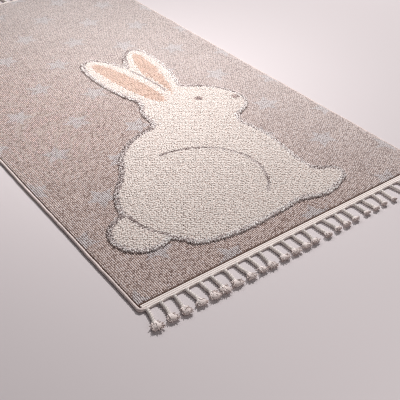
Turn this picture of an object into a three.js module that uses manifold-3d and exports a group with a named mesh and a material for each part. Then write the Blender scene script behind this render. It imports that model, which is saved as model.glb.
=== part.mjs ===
// Kids rug with a raised rabbit motif and a tassel fringe at both short ends.
// Millimetres, +Z up, +Y along the rug. The origin is on the floor under the rug's centre.
// The rabbit's feet stand towards the near end, at -Y.

import * as THREE from 'three';
import { mergeVertices } from 'three/addons/utils/BufferGeometryUtils.js';
import Module from 'manifold-3d';

const wasm = await Module();
wasm.setup();

// Driving dimensions of the woven rug
const RUG_WIDTH = 800;
const RUG_LENGTH = 1500;
const GROUND_HEIGHT = 10;
const FIGURE_HEIGHT = 15;
const PILE_ROUND = 2.5;
const PILE_ROUND_STEPS = 2;
const SEAM_GAP = 0.3;

// Overcast edges along the two long sides
const EDGE_WIDTH = 6;
const EDGE_HEIGHT = 10.5;
const EDGE_FOOT = 3.6;
const EDGE_CURVE_STEPS = 4;
const CORNER_KNOB = { across: 5, along: 9, up: 5.2, faces_round: 10, faces_up: 6 };

// Woven tape at the short ends, with three ribs along it
const TAPE_WIDTH = 14;
const TAPE_RIBS = 3;
const TAPE_LOW = 0.8;
const TAPE_THICKNESS = 3.6;
const RIB_RISE = 0.9;
const RIB_CURVE_STEPS = 3;

// Tassels: a two-ply cord from the tape, then a brushed end of four locks that lie on the floor
const TASSELS = 27;
const TASSEL_INSET = 6;
const CORD_LENGTH = 35;
const CORD_WIDE = 6.4;
const CORD_NARROW = 4.6;
const CORD_STEPS = 4;
const CORD_TURNS = 0.75;
const CORD_HEIGHT = 4.2;
const CORD_BURIED = 3.5;
const CORD_ROOT_SWELL = 0.4;
const LOCKS = 4;
const LOCK_LENGTH = 27;
const LOCK_OVERLAP = 1;
const LOCK_FAN = THREE.MathUtils.degToRad(23);
const LOCK_ROOT = { half: 3.2, high: 7.4 };
const LOCK_FORK = { reach: 0.45, high: 10.5 };
const LOCK_TIP = { half: 2.3, high: 5 };

// Hand-made unevenness: how far each thing strays from tassel to tassel, and how fast that changes
const STRAY_PLACE = { amount: 1.8, rate: 3.1 };
const STRAY_LEAN = { amount: 3, rate: 1.7 };
const STRAY_REACH = { amount: 3, rate: 2.3, step: 3 };

// The rabbit: each part is an ellipse, given by its centre from the rug's centre line and from
// the near end, its half sizes and its turn
const CONTOUR_WIDTH = 15;
const OVAL_POINTS = 44;
const BODY_PARTS = [
  { part: 'haunch', across: -95, along: 228, half_wide: 178, half_long: 158, turn: 10 },
  { part: 'back', across: -25, along: 318, half_wide: 172, half_long: 172, turn: -30 },
  { part: 'chest', across: 62, along: 330, half_wide: 108, half_long: 176, turn: 12 },
  { part: 'belly', across: 50, along: 150, half_wide: 62, half_long: 54, turn: 0 },
  { part: 'neck', across: 78, along: 458, half_wide: 96, half_long: 84, turn: -20 },
  { part: 'foreleg', across: 118, along: 172, half_wide: 42, half_long: 118, turn: 5 },
  { part: 'hind foot', across: -50, along: 92, half_wide: 150, half_long: 32, turn: 0 },
  { part: 'fore foot', across: 142, along: 88, half_wide: 66, half_long: 30, turn: 0 },
  { part: 'head', across: 112, along: 535, half_wide: 124, half_long: 100, turn: -16 },
  { part: 'muzzle', across: 188, along: 502, half_wide: 58, half_long: 54, turn: -20 },
  { part: 'near ear', across: 44, along: 742, half_wide: 52, half_long: 176, turn: 9 },
  { part: 'far ear', across: 128, along: 748, half_wide: 46, half_long: 162, turn: -12 },
  { part: 'tail', across: -276, along: 172, half_wide: 58, half_long: 56, turn: 0 },
];
const HAUNCH_LINE = { part: 'haunch', from: -42, to: 88, wide: 8, deep: 2, steps: 20 };
const INNER_EARS = { parts: ['near ear', 'far ear'], inset: 24, deep: 1 };

// Colours of the yarns
const YARN = {
  ground: { color: 0xad9e97, roughness: 0.95, metalness: 0 },
  cream: { color: 0xe2d8cf, roughness: 0.9, metalness: 0 },
};

// Places worked out from the sizes above
const PILE_HALF_WIDE = RUG_WIDTH / 2 - EDGE_WIDTH - SEAM_GAP;
const TAPE_HALF_LONG = RUG_WIDTH / 2 - 2 * CORNER_KNOB.across - SEAM_GAP;
const TAPE_START = -RUG_LENGTH / 2 - SEAM_GAP;
const SAME_POINT = 1e-4;

// Helpers: closed solids from geometries and back
function solid(geometry) {
  const bare = geometry.index ? geometry.toNonIndexed() : geometry.clone();
  bare.deleteAttribute('normal');
  bare.deleteAttribute('uv');
  const merged = mergeVertices(bare, SAME_POINT);
  return new wasm.Manifold(new wasm.Mesh({
    numProp: 3,
    vertProperties: Float32Array.from(merged.attributes.position.array),
    triVerts: Uint32Array.from(merged.index.array),
  }));
}

function union(pieces) {
  return pieces.reduce((whole, piece) => whole.add(piece));
}

function meshOf(name, body, yarn) {
  const data = body.getMesh();
  const geometry = new THREE.BufferGeometry();
  geometry.setAttribute('position', new THREE.BufferAttribute(Float32Array.from(data.vertProperties), 3));
  geometry.setIndex(new THREE.BufferAttribute(Uint32Array.from(data.triVerts), 1));
  geometry.computeVertexNormals();
  const mesh = new THREE.Mesh(geometry, new THREE.MeshStandardMaterial(yarn));
  mesh.name = name;
  return mesh;
}

function eachPoint(geometry, move) {
  const places = geometry.attributes.position;
  const point = new THREE.Vector3();
  for (let i = 0; i < places.count; i += 1) {
    point.fromBufferAttribute(places, i);
    move(point);
    places.setXYZ(i, point.x, point.y, point.z);
  }
  return geometry;
}

// A raised area of pile: the outline at full size below, rounded in at its top
function pileBlock(outline, low, high, round) {
  const geometry = new THREE.ExtrudeGeometry(outline, {
    depth: high - low - round,
    bevelEnabled: true,
    bevelThickness: round,
    bevelSize: round,
    bevelOffset: -round,
    bevelSegments: PILE_ROUND_STEPS,
    curveSegments: 1,
  });
  geometry.translate(0, 0, low);
  return solid(geometry);
}

function prism(outline, low, high) {
  const geometry = new THREE.ExtrudeGeometry(outline, { depth: high - low, bevelEnabled: false });
  geometry.translate(0, 0, low);
  return solid(geometry);
}

function oval(row, grow) {
  const middle = new THREE.Vector2(row.across, row.along - RUG_LENGTH / 2);
  const turn = THREE.MathUtils.degToRad(row.turn);
  const points = [];
  for (let i = 0; i < OVAL_POINTS; i += 1) {
    const angle = (2 * Math.PI * i) / OVAL_POINTS;
    const point = new THREE.Vector2(
      (row.half_wide + grow) * Math.cos(angle),
      (row.half_long + grow) * Math.sin(angle),
    );
    points.push(point.rotateAround(new THREE.Vector2(), turn).add(middle));
  }
  return new THREE.Shape(points);
}

function bodyPart(name) {
  return BODY_PARTS.find((row) => row.part === name);
}

// The sunk line that parts the haunch from the body, along the haunch's own outline
function haunchGroove() {
  const row = bodyPart(HAUNCH_LINE.part);
  const { steps } = HAUNCH_LINE;
  const from = THREE.MathUtils.degToRad(HAUNCH_LINE.from);
  const to = THREE.MathUtils.degToRad(HAUNCH_LINE.to);
  const turn = THREE.MathUtils.degToRad(row.turn);
  const middle = new THREE.Vector2(row.across, row.along - RUG_LENGTH / 2);
  const ring = (inset) => Array.from({ length: steps + 1 }, (_, i) => {
    const angle = from - turn + ((to - from) * i) / steps;
    const point = new THREE.Vector2(
      (row.half_wide - inset) * Math.cos(angle),
      (row.half_long - inset) * Math.sin(angle),
    );
    return point.rotateAround(new THREE.Vector2(), turn).add(middle);
  });
  const outline = new THREE.Shape([...ring(0), ...ring(HAUNCH_LINE.wide).reverse()]);
  return prism(outline, FIGURE_HEIGHT - HAUNCH_LINE.deep, FIGURE_HEIGHT + HAUNCH_LINE.deep);
}

// The woven pile rug: a flat cloth with the figure's pile standing higher
function wovenRug() {
  const half_long = RUG_LENGTH / 2;
  const outline = new THREE.Shape([
    new THREE.Vector2(-PILE_HALF_WIDE, -half_long),
    new THREE.Vector2(PILE_HALF_WIDE, -half_long),
    new THREE.Vector2(PILE_HALF_WIDE, half_long),
    new THREE.Vector2(-PILE_HALF_WIDE, half_long),
  ]);
  const under_floor = 2 * PILE_ROUND;
  const cloth = pileBlock(outline, -under_floor, GROUND_HEIGHT, PILE_ROUND);
  const above_floor = new THREE.BoxGeometry(2 * RUG_WIDTH, 2 * RUG_LENGTH, FIGURE_HEIGHT);
  above_floor.translate(0, 0, FIGURE_HEIGHT / 2);
  const ground = cloth.intersect(solid(above_floor));
  const sunk = GROUND_HEIGHT - 2 * PILE_ROUND;
  const figure = BODY_PARTS.map((row) => pileBlock(
    oval(row, CONTOUR_WIDTH), sunk, FIGURE_HEIGHT, PILE_ROUND,
  ));
  let whole = ground.add(union(figure));
  whole = whole.subtract(haunchGroove());
  for (const name of INNER_EARS.parts) {
    const inner = oval(bodyPart(name), -INNER_EARS.inset);
    whole = whole.subtract(prism(inner, FIGURE_HEIGHT - INNER_EARS.deep, FIGURE_HEIGHT + INNER_EARS.deep));
  }
  return whole;
}

// An overcast edge: a rounded bar with a flat foot, and a knob where the yarn rounds each corner
function overcastEdge(side) {
  const centre = side * (RUG_WIDTH - EDGE_WIDTH) / 2;
  const section = new THREE.Shape();
  section.moveTo(-EDGE_FOOT / 2, 0);
  section.lineTo(EDGE_FOOT / 2, 0);
  section.quadraticCurveTo(EDGE_WIDTH / 2, 0, EDGE_WIDTH / 2, EDGE_HEIGHT / 3);
  section.lineTo(EDGE_WIDTH / 2, (2 * EDGE_HEIGHT) / 3);
  section.bezierCurveTo(
    EDGE_WIDTH / 2, EDGE_HEIGHT, -EDGE_WIDTH / 2, EDGE_HEIGHT, -EDGE_WIDTH / 2, (2 * EDGE_HEIGHT) / 3,
  );
  section.lineTo(-EDGE_WIDTH / 2, EDGE_HEIGHT / 3);
  section.quadraticCurveTo(-EDGE_WIDTH / 2, 0, -EDGE_FOOT / 2, 0);
  const knob_centre = RUG_LENGTH / 2 + SEAM_GAP + CORNER_KNOB.along;
  const bar = new THREE.ExtrudeGeometry(section, {
    depth: 2 * knob_centre, bevelEnabled: false, curveSegments: EDGE_CURVE_STEPS,
  });
  bar.rotateX(Math.PI / 2);
  bar.translate(centre, knob_centre, 0);
  const pieces = [solid(bar)];
  for (const end of [-1, 1]) {
    const knob = new THREE.SphereGeometry(1, CORNER_KNOB.faces_round, CORNER_KNOB.faces_up);
    knob.scale(CORNER_KNOB.across, CORNER_KNOB.along, CORNER_KNOB.up);
    knob.translate(side * (RUG_WIDTH / 2 - CORNER_KNOB.across), end * knob_centre, CORNER_KNOB.up);
    pieces.push(solid(knob));
  }
  return union(pieces);
}

// How far a thing strays at one tassel, to either side of its even place
function strayed(stray, index) {
  return stray.amount * Math.sin(stray.rate * (index + 1));
}

// One tassel's cord, hanging towards -Y from the tape's outer edge, which is at Y = 0
function tasselCord(lean) {
  const plies = new THREE.Shape([
    new THREE.Vector2(-CORD_WIDE / 2, -CORD_NARROW / 2),
    new THREE.Vector2(CORD_WIDE / 2, -CORD_NARROW / 2),
    new THREE.Vector2(CORD_WIDE / 2, CORD_NARROW / 2),
    new THREE.Vector2(-CORD_WIDE / 2, CORD_NARROW / 2),
  ]);
  const length = CORD_LENGTH + CORD_BURIED;
  const cord = new THREE.ExtrudeGeometry(plies, { depth: length, steps: CORD_STEPS, bevelEnabled: false });
  eachPoint(cord, (point) => {
    const share = point.z / length;
    const angle = share * CORD_TURNS * 2 * Math.PI;
    const swell = 1 + CORD_ROOT_SWELL * Math.max(0, 1 - 2 * share);
    const x = swell * (point.x * Math.cos(angle) - point.y * Math.sin(angle));
    const z = point.x * Math.sin(angle) + point.y * Math.cos(angle);
    point.set(x + lean * share * share, CORD_BURIED - point.z, z + CORD_HEIGHT);
  });
  return cord;
}

// The brushed end: one outline that forks into its locks, each as high as its distance from the cord asks
function brushedEnd(index) {
  const polar = (reach, angle) => new THREE.Vector2(reach * Math.sin(angle), -reach * Math.cos(angle));
  const gap = (2 * LOCK_FAN) / (LOCKS - 1);
  const outline = [new THREE.Vector2(LOCK_ROOT.half, 0), new THREE.Vector2(-LOCK_ROOT.half, 0)];
  for (let i = 0; i < LOCKS; i += 1) {
    const angle = i * gap - LOCK_FAN;
    const reach = LOCK_LENGTH - Math.abs(strayed(STRAY_REACH, index + STRAY_REACH.step * i));
    const half_angle = LOCK_TIP.half / reach;
    outline.push(polar(reach, angle - half_angle));
    outline.push(polar(reach, angle + half_angle));
    if (i < LOCKS - 1) {
      outline.push(polar(LOCK_LENGTH * LOCK_FORK.reach, angle + gap / 2));
    }
  }
  const shape = new THREE.Shape(outline);
  const geometry = new THREE.ExtrudeGeometry(shape, { depth: 1, bevelEnabled: false });
  return eachPoint(geometry, (point) => {
    const share = Math.hypot(point.x, point.y) / LOCK_LENGTH;
    const near_cord = share < LOCK_FORK.reach / 2;
    const at_fork = share < (1 + LOCK_FORK.reach) / 2;
    const station = near_cord ? LOCK_ROOT : (at_fork ? LOCK_FORK : LOCK_TIP);
    point.z *= station.high;
  });
}

function tassel(index) {
  const lean = strayed(STRAY_LEAN, index);
  const end = brushedEnd(index);
  end.translate(lean, LOCK_OVERLAP - CORD_LENGTH, 0);
  return solid(tasselCord(lean)).add(solid(end));
}

// The fringe of the near end: the ribbed tape and all its tassels
function fringe() {
  const rib = TAPE_WIDTH / TAPE_RIBS;
  const section = new THREE.Shape();
  const top = TAPE_LOW + TAPE_THICKNESS;
  section.moveTo(0, TAPE_LOW);
  for (let i = 0; i < TAPE_RIBS; i += 1) {
    const from = i * rib;
    section.lineTo(from, top);
    section.quadraticCurveTo(from + rib / 2, top + 2 * RIB_RISE, from + rib, top);
  }
  section.lineTo(TAPE_WIDTH, TAPE_LOW);
  section.closePath();
  const tape = new THREE.ExtrudeGeometry(section, {
    depth: 2 * TAPE_HALF_LONG, bevelEnabled: false, curveSegments: RIB_CURVE_STEPS,
  });
  eachPoint(tape, (point) => point.set(TAPE_HALF_LONG - point.z, TAPE_START - point.x, point.y));
  const pieces = [solid(tape)];
  const spread = 2 * (TAPE_HALF_LONG - TASSEL_INSET);
  for (let i = 0; i < TASSELS; i += 1) {
    const across = spread * (i / (TASSELS - 1) - 0.5) + strayed(STRAY_PLACE, i);
    pieces.push(tassel(i).translate([across, TAPE_START - TAPE_WIDTH, 0]));
  }
  return union(pieces);
}

const group = new THREE.Group();
group.add(meshOf('rug', wovenRug(), YARN.ground));
group.add(meshOf('binding_left', overcastEdge(-1), YARN.cream));
group.add(meshOf('binding_right', overcastEdge(1), YARN.cream));
const near_fringe = fringe();
group.add(meshOf('fringe_near', near_fringe, YARN.cream));
const far_fringe = meshOf('fringe_far', near_fringe, YARN.cream);
far_fringe.rotation.z = Math.PI;
group.add(far_fringe);

export default group;
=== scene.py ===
"""A woven kids rug with a raised rabbit and tasselled short ends, on a plain pale floor.

Metres. +Y runs along the rug from the rabbit's feet to its ears, and +Z is up from the floor.
Each piece stands for a solid of the fixed frame, or lies on one.
"""

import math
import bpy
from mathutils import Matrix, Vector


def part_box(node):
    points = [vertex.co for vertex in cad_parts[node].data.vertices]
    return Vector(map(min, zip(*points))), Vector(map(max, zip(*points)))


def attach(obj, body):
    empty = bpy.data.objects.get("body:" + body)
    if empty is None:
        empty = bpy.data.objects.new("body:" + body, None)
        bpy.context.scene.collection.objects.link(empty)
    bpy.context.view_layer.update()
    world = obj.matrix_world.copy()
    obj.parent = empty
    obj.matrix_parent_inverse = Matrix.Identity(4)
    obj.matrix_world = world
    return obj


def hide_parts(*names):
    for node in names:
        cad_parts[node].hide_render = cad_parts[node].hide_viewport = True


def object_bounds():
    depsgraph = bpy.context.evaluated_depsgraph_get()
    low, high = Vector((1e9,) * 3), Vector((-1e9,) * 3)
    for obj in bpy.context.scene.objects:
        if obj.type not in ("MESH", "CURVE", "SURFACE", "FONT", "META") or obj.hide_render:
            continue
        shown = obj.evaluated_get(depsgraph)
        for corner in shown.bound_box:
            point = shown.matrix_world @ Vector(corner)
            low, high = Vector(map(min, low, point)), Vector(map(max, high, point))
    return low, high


bl_info = {
    "name": "Tasselled Kids Rug",
    "version": (1, 0, 0),
    "blender": (4, 5, 0),
    "location": "3D View > Sidebar > Rug",
    "description": "Builds a woven kids rug with a raised rabbit, wound edges and tasselled ends",
    "category": "Add Mesh",
}

from collections import namedtuple

import bpy
import numpy as np
from bpy.props import FloatProperty, FloatVectorProperty, IntProperty, PointerProperty
from mathutils import Vector

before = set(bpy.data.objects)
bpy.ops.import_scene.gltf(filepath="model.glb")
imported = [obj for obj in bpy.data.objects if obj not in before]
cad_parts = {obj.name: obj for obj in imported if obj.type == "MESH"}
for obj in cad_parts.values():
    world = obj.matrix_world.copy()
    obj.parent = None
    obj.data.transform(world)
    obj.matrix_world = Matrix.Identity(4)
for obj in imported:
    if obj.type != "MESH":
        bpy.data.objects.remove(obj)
FRAME_LOW, FRAME_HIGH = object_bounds()
RUG_LOW, RUG_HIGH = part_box("rug")
ENDS = {"near": 1, "far": -1}
SIDES = {"left": -1, "right": 1}
MM = 0.001

# Places that the pieces share
PIECE_GAP = 0.3 * MM
EDGE_HALF_WIDTH = 3.0 * MM
TAPE_HALF = FRAME_HIGH.x - 10.3 * MM
TASSELS_HALF = TAPE_HALF - 6 * MM
TAPE_RIBS = 3

# The rabbit's parts: each is an oval, in millimetres from the rug's centre line and its near end
BODY_PARTS = {
    # part: across, along, half wide, half long, turn in degrees
    "haunch": (-95, 228, 178, 158, 10),
    "back": (-25, 318, 172, 172, -30),
    "chest": (62, 330, 108, 176, 12),
    "belly": (50, 150, 62, 54, 0),
    "neck": (78, 458, 96, 84, -20),
    "foreleg": (118, 172, 42, 118, 5),
    "hind foot": (-50, 92, 150, 32, 0),
    "fore foot": (142, 88, 66, 30, 0),
    "head": (112, 535, 124, 100, -16),
    "muzzle": (188, 502, 58, 54, -20),
    "near ear": (44, 742, 52, 176, 9),
    "far ear": (128, 748, 46, 162, -12),
    "tail": (-276, 172, 58, 56, 0),
}
FIGURE_ACROSS, FIGURE_ALONG = (-372, 300), (16, 960)
EYE = (150, 552, 11)
NOSE = (236, 503, 11)

# The lines inside the rabbit and the inner ears, in the same millimetres
HAUNCH_LINE_FROM, HAUNCH_LINE_TO = math.radians(-42), math.radians(88)
HAUNCH_LINE_INSET = 6
TAIL_LINE_REACH = 4
EAR_LINE_REACH = 6
EAR_LINE_START = 640
NEAR_EAR_RIM, FAR_EAR_RIM, EAR_SHADOW = 24, 22, 10


def linear(red, green, blue):
    """A colour of the yarn as the eye reads it, 0 to 255, as the light values that shaders use."""
    shares = (value / 255 for value in (red, green, blue))
    return tuple(s / 12.92 if s <= 0.04045 else ((s + 0.055) / 1.055) ** 2.4 for s in shares)


def length(name, description, default):
    """A length property in metres."""
    return FloatProperty(
        name=name, description=description, default=default, subtype="DISTANCE", unit="LENGTH", precision=4
    )


def place(name, description, default):
    """A place in metres."""
    return FloatVectorProperty(
        name=name, description=description, default=default, subtype="TRANSLATION", unit="LENGTH"
    )


def power(name, description, default):
    """A light's power in watts."""
    return FloatProperty(name=name, description=description, default=default, unit="POWER")


def colour(name, description, default):
    """A colour property."""
    return FloatVectorProperty(
        name=name, description=description, default=linear(*default), subtype="COLOR", min=0, max=1
    )


class RugSizes(bpy.types.PropertyGroup):
    """The sizes of the weave, the pile, the edges and the fringe."""

    rib_pitch: length("Rib pitch", "From one rib of the low pile to the next, across the rug", 4.2 * MM)
    rib_height: length("Rib height", "How far a rib stands over the valleys beside it", 1.5 * MM)
    loop_pitch: length("Loop pitch", "From one loop of a rib to the next", 2.7 * MM)
    row_step: length("Row step", "From one modelled row of the ground to the next", 6.6 * MM)
    ground_height: length("Ground height", "From the floor to the top of the low pile", 10 * MM)
    groove_width: length("Groove width", "The low rim of the ground along the edges and the tape", 0.9 * MM)
    contour_width: length("Contour width", "The grey band round the rabbit", 12.0 * MM)
    line_width: length("Line width", "The grey lines inside the rabbit", 9 * MM)
    tuft_across: length("Tuft column", "From one tuft of the rabbit to the next, across", 4.7 * MM)
    tuft_along: length("Tuft row", "From one row of the rabbit's tufts to the next", 3.3 * MM)
    tuft_height: length("Tuft height", "A tuft of the rabbit, from its root to its tip", 4.6 * MM)
    contour_pitch: length("Contour pitch", "From one tuft of the contour to the next", 3.3 * MM)
    contour_tuft_width: length("Contour tuft width", "Across one tuft of the contour", 4.1 * MM)
    contour_tuft_height: length("Contour tuft height", "A tuft of the contour, from root to tip", 4.5 * MM)
    star_radius: length("Star radius", "From a star's middle to its tips", 39 * MM)
    star_column: length("Star column", "From one column of stars to the next", 112 * MM)
    star_repeat: length("Star repeat", "From one star of a column to the next", 214 * MM)
    edge_height: length("Edge height", "From the floor to the top of the wound edges", 7.0 * MM)
    wrap_pitch: length("Wrap pitch", "From one turn of the edge yarn to the next", 2.9 * MM)
    tape_width: length("Tape width", "The woven tape that holds the tassels", 15 * MM)
    tape_height: length("Tape height", "From the floor to the top of the tape", 5.3 * MM)
    cord_length: length("Cord length", "From the tape to the brushed end", 35 * MM)
    ply_radius: length("Ply radius", "Half the thickness of one ply of a cord", 2.05 * MM)
    puff_length: length("Brushed length", "From the cord to the tip of the brushed end", 26 * MM)
    puff_width: length("Brushed width", "Across the widest part of the brushed end", 21 * MM)
    tassels: IntProperty(name="Tassels", description="Tassels at each short end", default=27, min=2)
    cord_turns: FloatProperty(name="Cord turns", description="Turns of the two plies", default=3.4)


class RugColours(bpy.types.PropertyGroup):
    """The colours of the yarns."""

    ground: colour("Ground", "The beige of most loops of the low pile", (211, 184, 175))
    ground_dark: colour("Dark fleck", "The darkest loops of the low pile", (124, 98, 89))
    ground_light: colour("Light fleck", "The lightest loops of the low pile", (242, 224, 215))
    ground_rose: colour("Rose fleck", "The few rosy loops of the low pile", (230, 196, 185))
    # Painted shade: the valley colour stands for the shade between the ribs and between the loops.
    valley_painted_shade: colour("Valley", "The shaded yarn between the ribs", (94, 60, 50))
    # Painted shade: the groove colour darkens the low rim of the pile along the edges and the tape, where
    # that rim lies in shade.
    groove: colour("Groove", "The shaded threads between the pile and the edges", (140, 112, 101))
    # Painted light: a paler tint towards the far right that stands in for the light brightening the pile
    # there.
    painted_far_light: colour("Nap", "The paler look of the pile where it leans away at the far right", (240, 231, 230))
    star: colour("Star", "The light grey of the faint stars", (220, 218, 222))
    cream: colour("Cream", "The rabbit's pile", (236, 226, 220))
    # Darker tufts at random; the same colour, darkened, also gives painted shade at the tufts' roots, in the
    # mound under them and where the pile's wave dips.
    cream_tone_and_painted_shade: colour("Cream shade", "Single darker tufts in the cream pile", (226, 211, 204))
    peach: colour("Peach", "The inner ears", (219, 190, 175))
    grey_dark: colour("Dark grey", "The darkest tufts of the contour", (159, 141, 137))
    grey_mid: colour("Middle grey", "Most tufts of the contour", (230, 216, 213))
    grey_light: colour("Light grey", "The lightest tufts of the contour", (250, 244, 241))
    edge: colour("Edge yarn", "The yarn wound over the long edges", (232, 214, 209))
    fringe: colour("Fringe yarn", "The tape and the cords", (244, 233, 227))
    brushed: colour("Brushed yarn", "The brushed ends of the tassels", (249, 237, 233))
    # Painted shade: this taupe stands for the shade under, inside and at the tips of the brushed ends and in
    # the tape's valleys; it also tints random darker fibres of the tape and a little of the cores.
    brushed_taupe_and_painted_shade: colour("Brushed shade", "The brushed ends' lower and inner yarn", (170, 146, 139))
    backing: colour("Backing", "The woven underside", (203, 190, 172))


class StageSettings(bpy.types.PropertyGroup):
    """The floor, the lights and the camera."""

    camera_place: place("Camera place", "Where the camera stands", (-0.8584, -1.5734, 0.9459))
    camera_turn: FloatVectorProperty(
        name="Camera turn", description="The way the camera looks", subtype="EULER", unit="ROTATION",
        default=(math.radians(53.305), 0, math.radians(-36.357)),
    )
    lens: FloatProperty(name="Lens", description="Focal length in millimetres", default=64.85, unit="CAMERA")
    floor_size: length("Floor size", "One side of the floor", 14.0)
    floor: colour("Floor", "The pale floor", (208, 198, 199))
    key_place: place("Key place", "Where the main light hangs", (3.03, 1.76, 3.8))
    key_size: length("Key size", "The main light's width", 0.55)
    key_power: power("Key power", "The main light's watts", 263.5)
    glow_place: place("Glow place", "Where the soft near light hangs", (0.05, -0.03, 0.6))
    glow_size: length("Glow size", "The soft near light's width", 0.8)
    glow_power: power("Glow power", "The soft near light's watts", 4.06)
    front_place: place("Front place", "Where the wide front light stands", (-0.09, -1.46, 0.5))
    front_size: length("Front size", "The wide front light's width", 1.0)
    front_power: power("Front power", "The wide front light's watts", 2.04)
    fill_strength: FloatProperty(name="Fill", description="The even light from all round", default=0.12)
    fill: colour("Fill colour", "The even light's colour", (250, 247, 250))


# Node trees: sums on wires add their Math nodes, and any other node comes from add


class Wire:
    """An output socket in a tree. Sums with it give new wires."""

    def __init__(self, tree, socket):
        self.tree = tree
        self.socket = socket

    def output(self, name):
        return Wire(self.tree, self.socket.node.outputs[name])

    def math(self, operation, *others):
        values = dict(enumerate((self, *others)))
        return self.tree.add("ShaderNodeMath", {"operation": operation}, values)

    def __add__(self, other):
        return self.math("ADD", other)

    def __sub__(self, other):
        return self.math("SUBTRACT", other)

    def __mul__(self, other):
        return self.math("MULTIPLY", other)

    def __truediv__(self, other):
        return self.math("DIVIDE", other)

    def __rsub__(self, other):
        return self.tree.add("ShaderNodeMath", {"operation": "SUBTRACT"}, {0: other, 1: self})

    def __neg__(self):
        return self * -1

    __radd__ = __add__
    __rmul__ = __mul__


class Tree:
    """A node tree, of a material or of Geometry Nodes, that is built by adding nodes."""

    def __init__(self, nodes):
        self.nodes = nodes
        nodes.nodes.clear()

    def add(self, kind, settings=None, inputs=None, out=0):
        node = self.nodes.nodes.new(kind)
        for name, value in (settings or {}).items():
            if name == "stops":
                self.set_stops(node.color_ramp, value)
            else:
                setattr(node, name, value)
        for name, value in (inputs or {}).items():
            if isinstance(value, Wire):
                self.nodes.links.new(value.socket, node.inputs[name])
            else:
                node.inputs[name].default_value = value
        return Wire(self, node.outputs[out]) if node.outputs else node

    @staticmethod
    def set_stops(ramp, stops):
        while len(ramp.elements) < len(stops):
            ramp.elements.new(1)
        for element, (spot, shade) in zip(ramp.elements, stops):
            element.position = spot
            element.color = opaque(shade)

    def combine(self, **parts):
        """A vector from its X, Y and Z."""
        return self.add("ShaderNodeCombineXYZ", None, parts)

    def step(self, value, low, high):
        """0 below low and 1 above high, with a soft change between them."""
        settings = {"interpolation_type": "SMOOTHSTEP"}
        return self.add("ShaderNodeMapRange", settings, {"Value": value, "From Min": low, "From Max": high})

    def named(self, name, kind):
        """An attribute of the points in Geometry Nodes."""
        return self.add("GeometryNodeInputNamedAttribute", {"data_type": kind}, {"Name": name})

    def random(self, low, high, seed):
        """A value by chance for each point in Geometry Nodes."""
        inputs = {2: low, 3: high, "Seed": seed}
        return self.add("FunctionNodeRandomValue", {"data_type": "FLOAT"}, inputs, out=1)


class Finish(Tree):
    """A material for yarn: its tree, its Object coordinates and its shader."""

    def __init__(self, name):
        self.material = bpy.data.materials.new(name)
        self.material.use_nodes = True
        super().__init__(self.material.node_tree)
        self.place = self.add("ShaderNodeTexCoord", out="Object")

    def across_along(self):
        """X and Y of the place."""
        parts = self.add("ShaderNodeSeparateXYZ", None, {0: self.place})
        return parts, parts.output("Y")

    def attribute(self, name, out="Color"):
        return self.add("ShaderNodeAttribute", {"attribute_name": name}, out=out)

    def noise(self, scale, detail=2.0, roughness=0.5, spot=None):
        inputs = {"Vector": spot or self.place, "Scale": scale, "Detail": detail, "Roughness": roughness}
        return self.add("ShaderNodeTexNoise", None, inputs)

    def cell_chance(self, column, row):
        """A value from 0 to 1 by chance, the same all over a cell of a grid."""
        cell = self.combine(X=column.math("FLOOR"), Y=row.math("FLOOR"))
        return self.add("ShaderNodeTexWhiteNoise", {"noise_dimensions": "2D"}, {"Vector": cell})

    def tint(self, shade, other, amount):
        """A shade with that amount of another colour mixed in."""
        inputs = {0: amount, 6: shade, 7: opaque(other)}
        return self.add("ShaderNodeMix", {"data_type": "RGBA"}, inputs, out=2)

    def close(self, shade, roughness, height=None, depth=0.0, sheen=0.3):
        """Ends the material in one shader, with a bump of that depth in metres."""
        inputs = {"Base Color": shade, "Roughness": roughness, "Sheen Weight": sheen}
        inputs["Sheen Roughness"] = 0.5
        inputs["Specular IOR Level"] = 0.15
        if height is not None:
            inputs["Normal"] = self.add("ShaderNodeBump", None, {"Height": height, "Distance": depth})
        shader = self.add("ShaderNodeBsdfPrincipled", None, inputs)
        self.add("ShaderNodeOutputMaterial", None, {"Surface": shader})
        return self.material


def opaque(shade):
    """A colour with full cover, as sockets want it."""
    return (*shade, 1)


def scaled(shade, share):
    """A colour at that share of its light."""
    return tuple(share * part for part in shade)


# The rabbit's outline, worked out from its ovals


def oval_distance(part, across, along):
    """About how far a place lies outside an oval of the rabbit, in millimetres, below 0 inside."""
    centre_x, centre_y, half_wide, half_long, turn = BODY_PARTS[part]
    cosine, sine = math.cos(math.radians(turn)), math.sin(math.radians(turn))
    x = (across - centre_x) * cosine + (along - centre_y) * sine
    y = (along - centre_y) * cosine - (across - centre_x) * sine
    share = np.hypot(x / half_wide, y / half_long)
    slope = np.hypot(x / half_wide**2, y / half_long**2)
    return share * (share - 1) / np.maximum(slope, 1e-9)


def soft_join(first, second, reach=28):
    """The smaller of two distances, rounded where they are alike."""
    share = np.clip(0.5 + 0.5 * (second - first) / reach, 0, 1)
    return second * (1 - share) + first * share - reach * share * (1 - share)


def figure_distance(across, along):
    """How far a place lies outside the rabbit, in millimetres, below 0 inside."""
    whole = oval_distance("haunch", across, along)
    for part in BODY_PARTS:
        if part not in ("haunch", "tail"):
            whole = soft_join(whole, oval_distance(part, across, along))
    return np.minimum(whole, oval_distance("tail", across, along))


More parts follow.
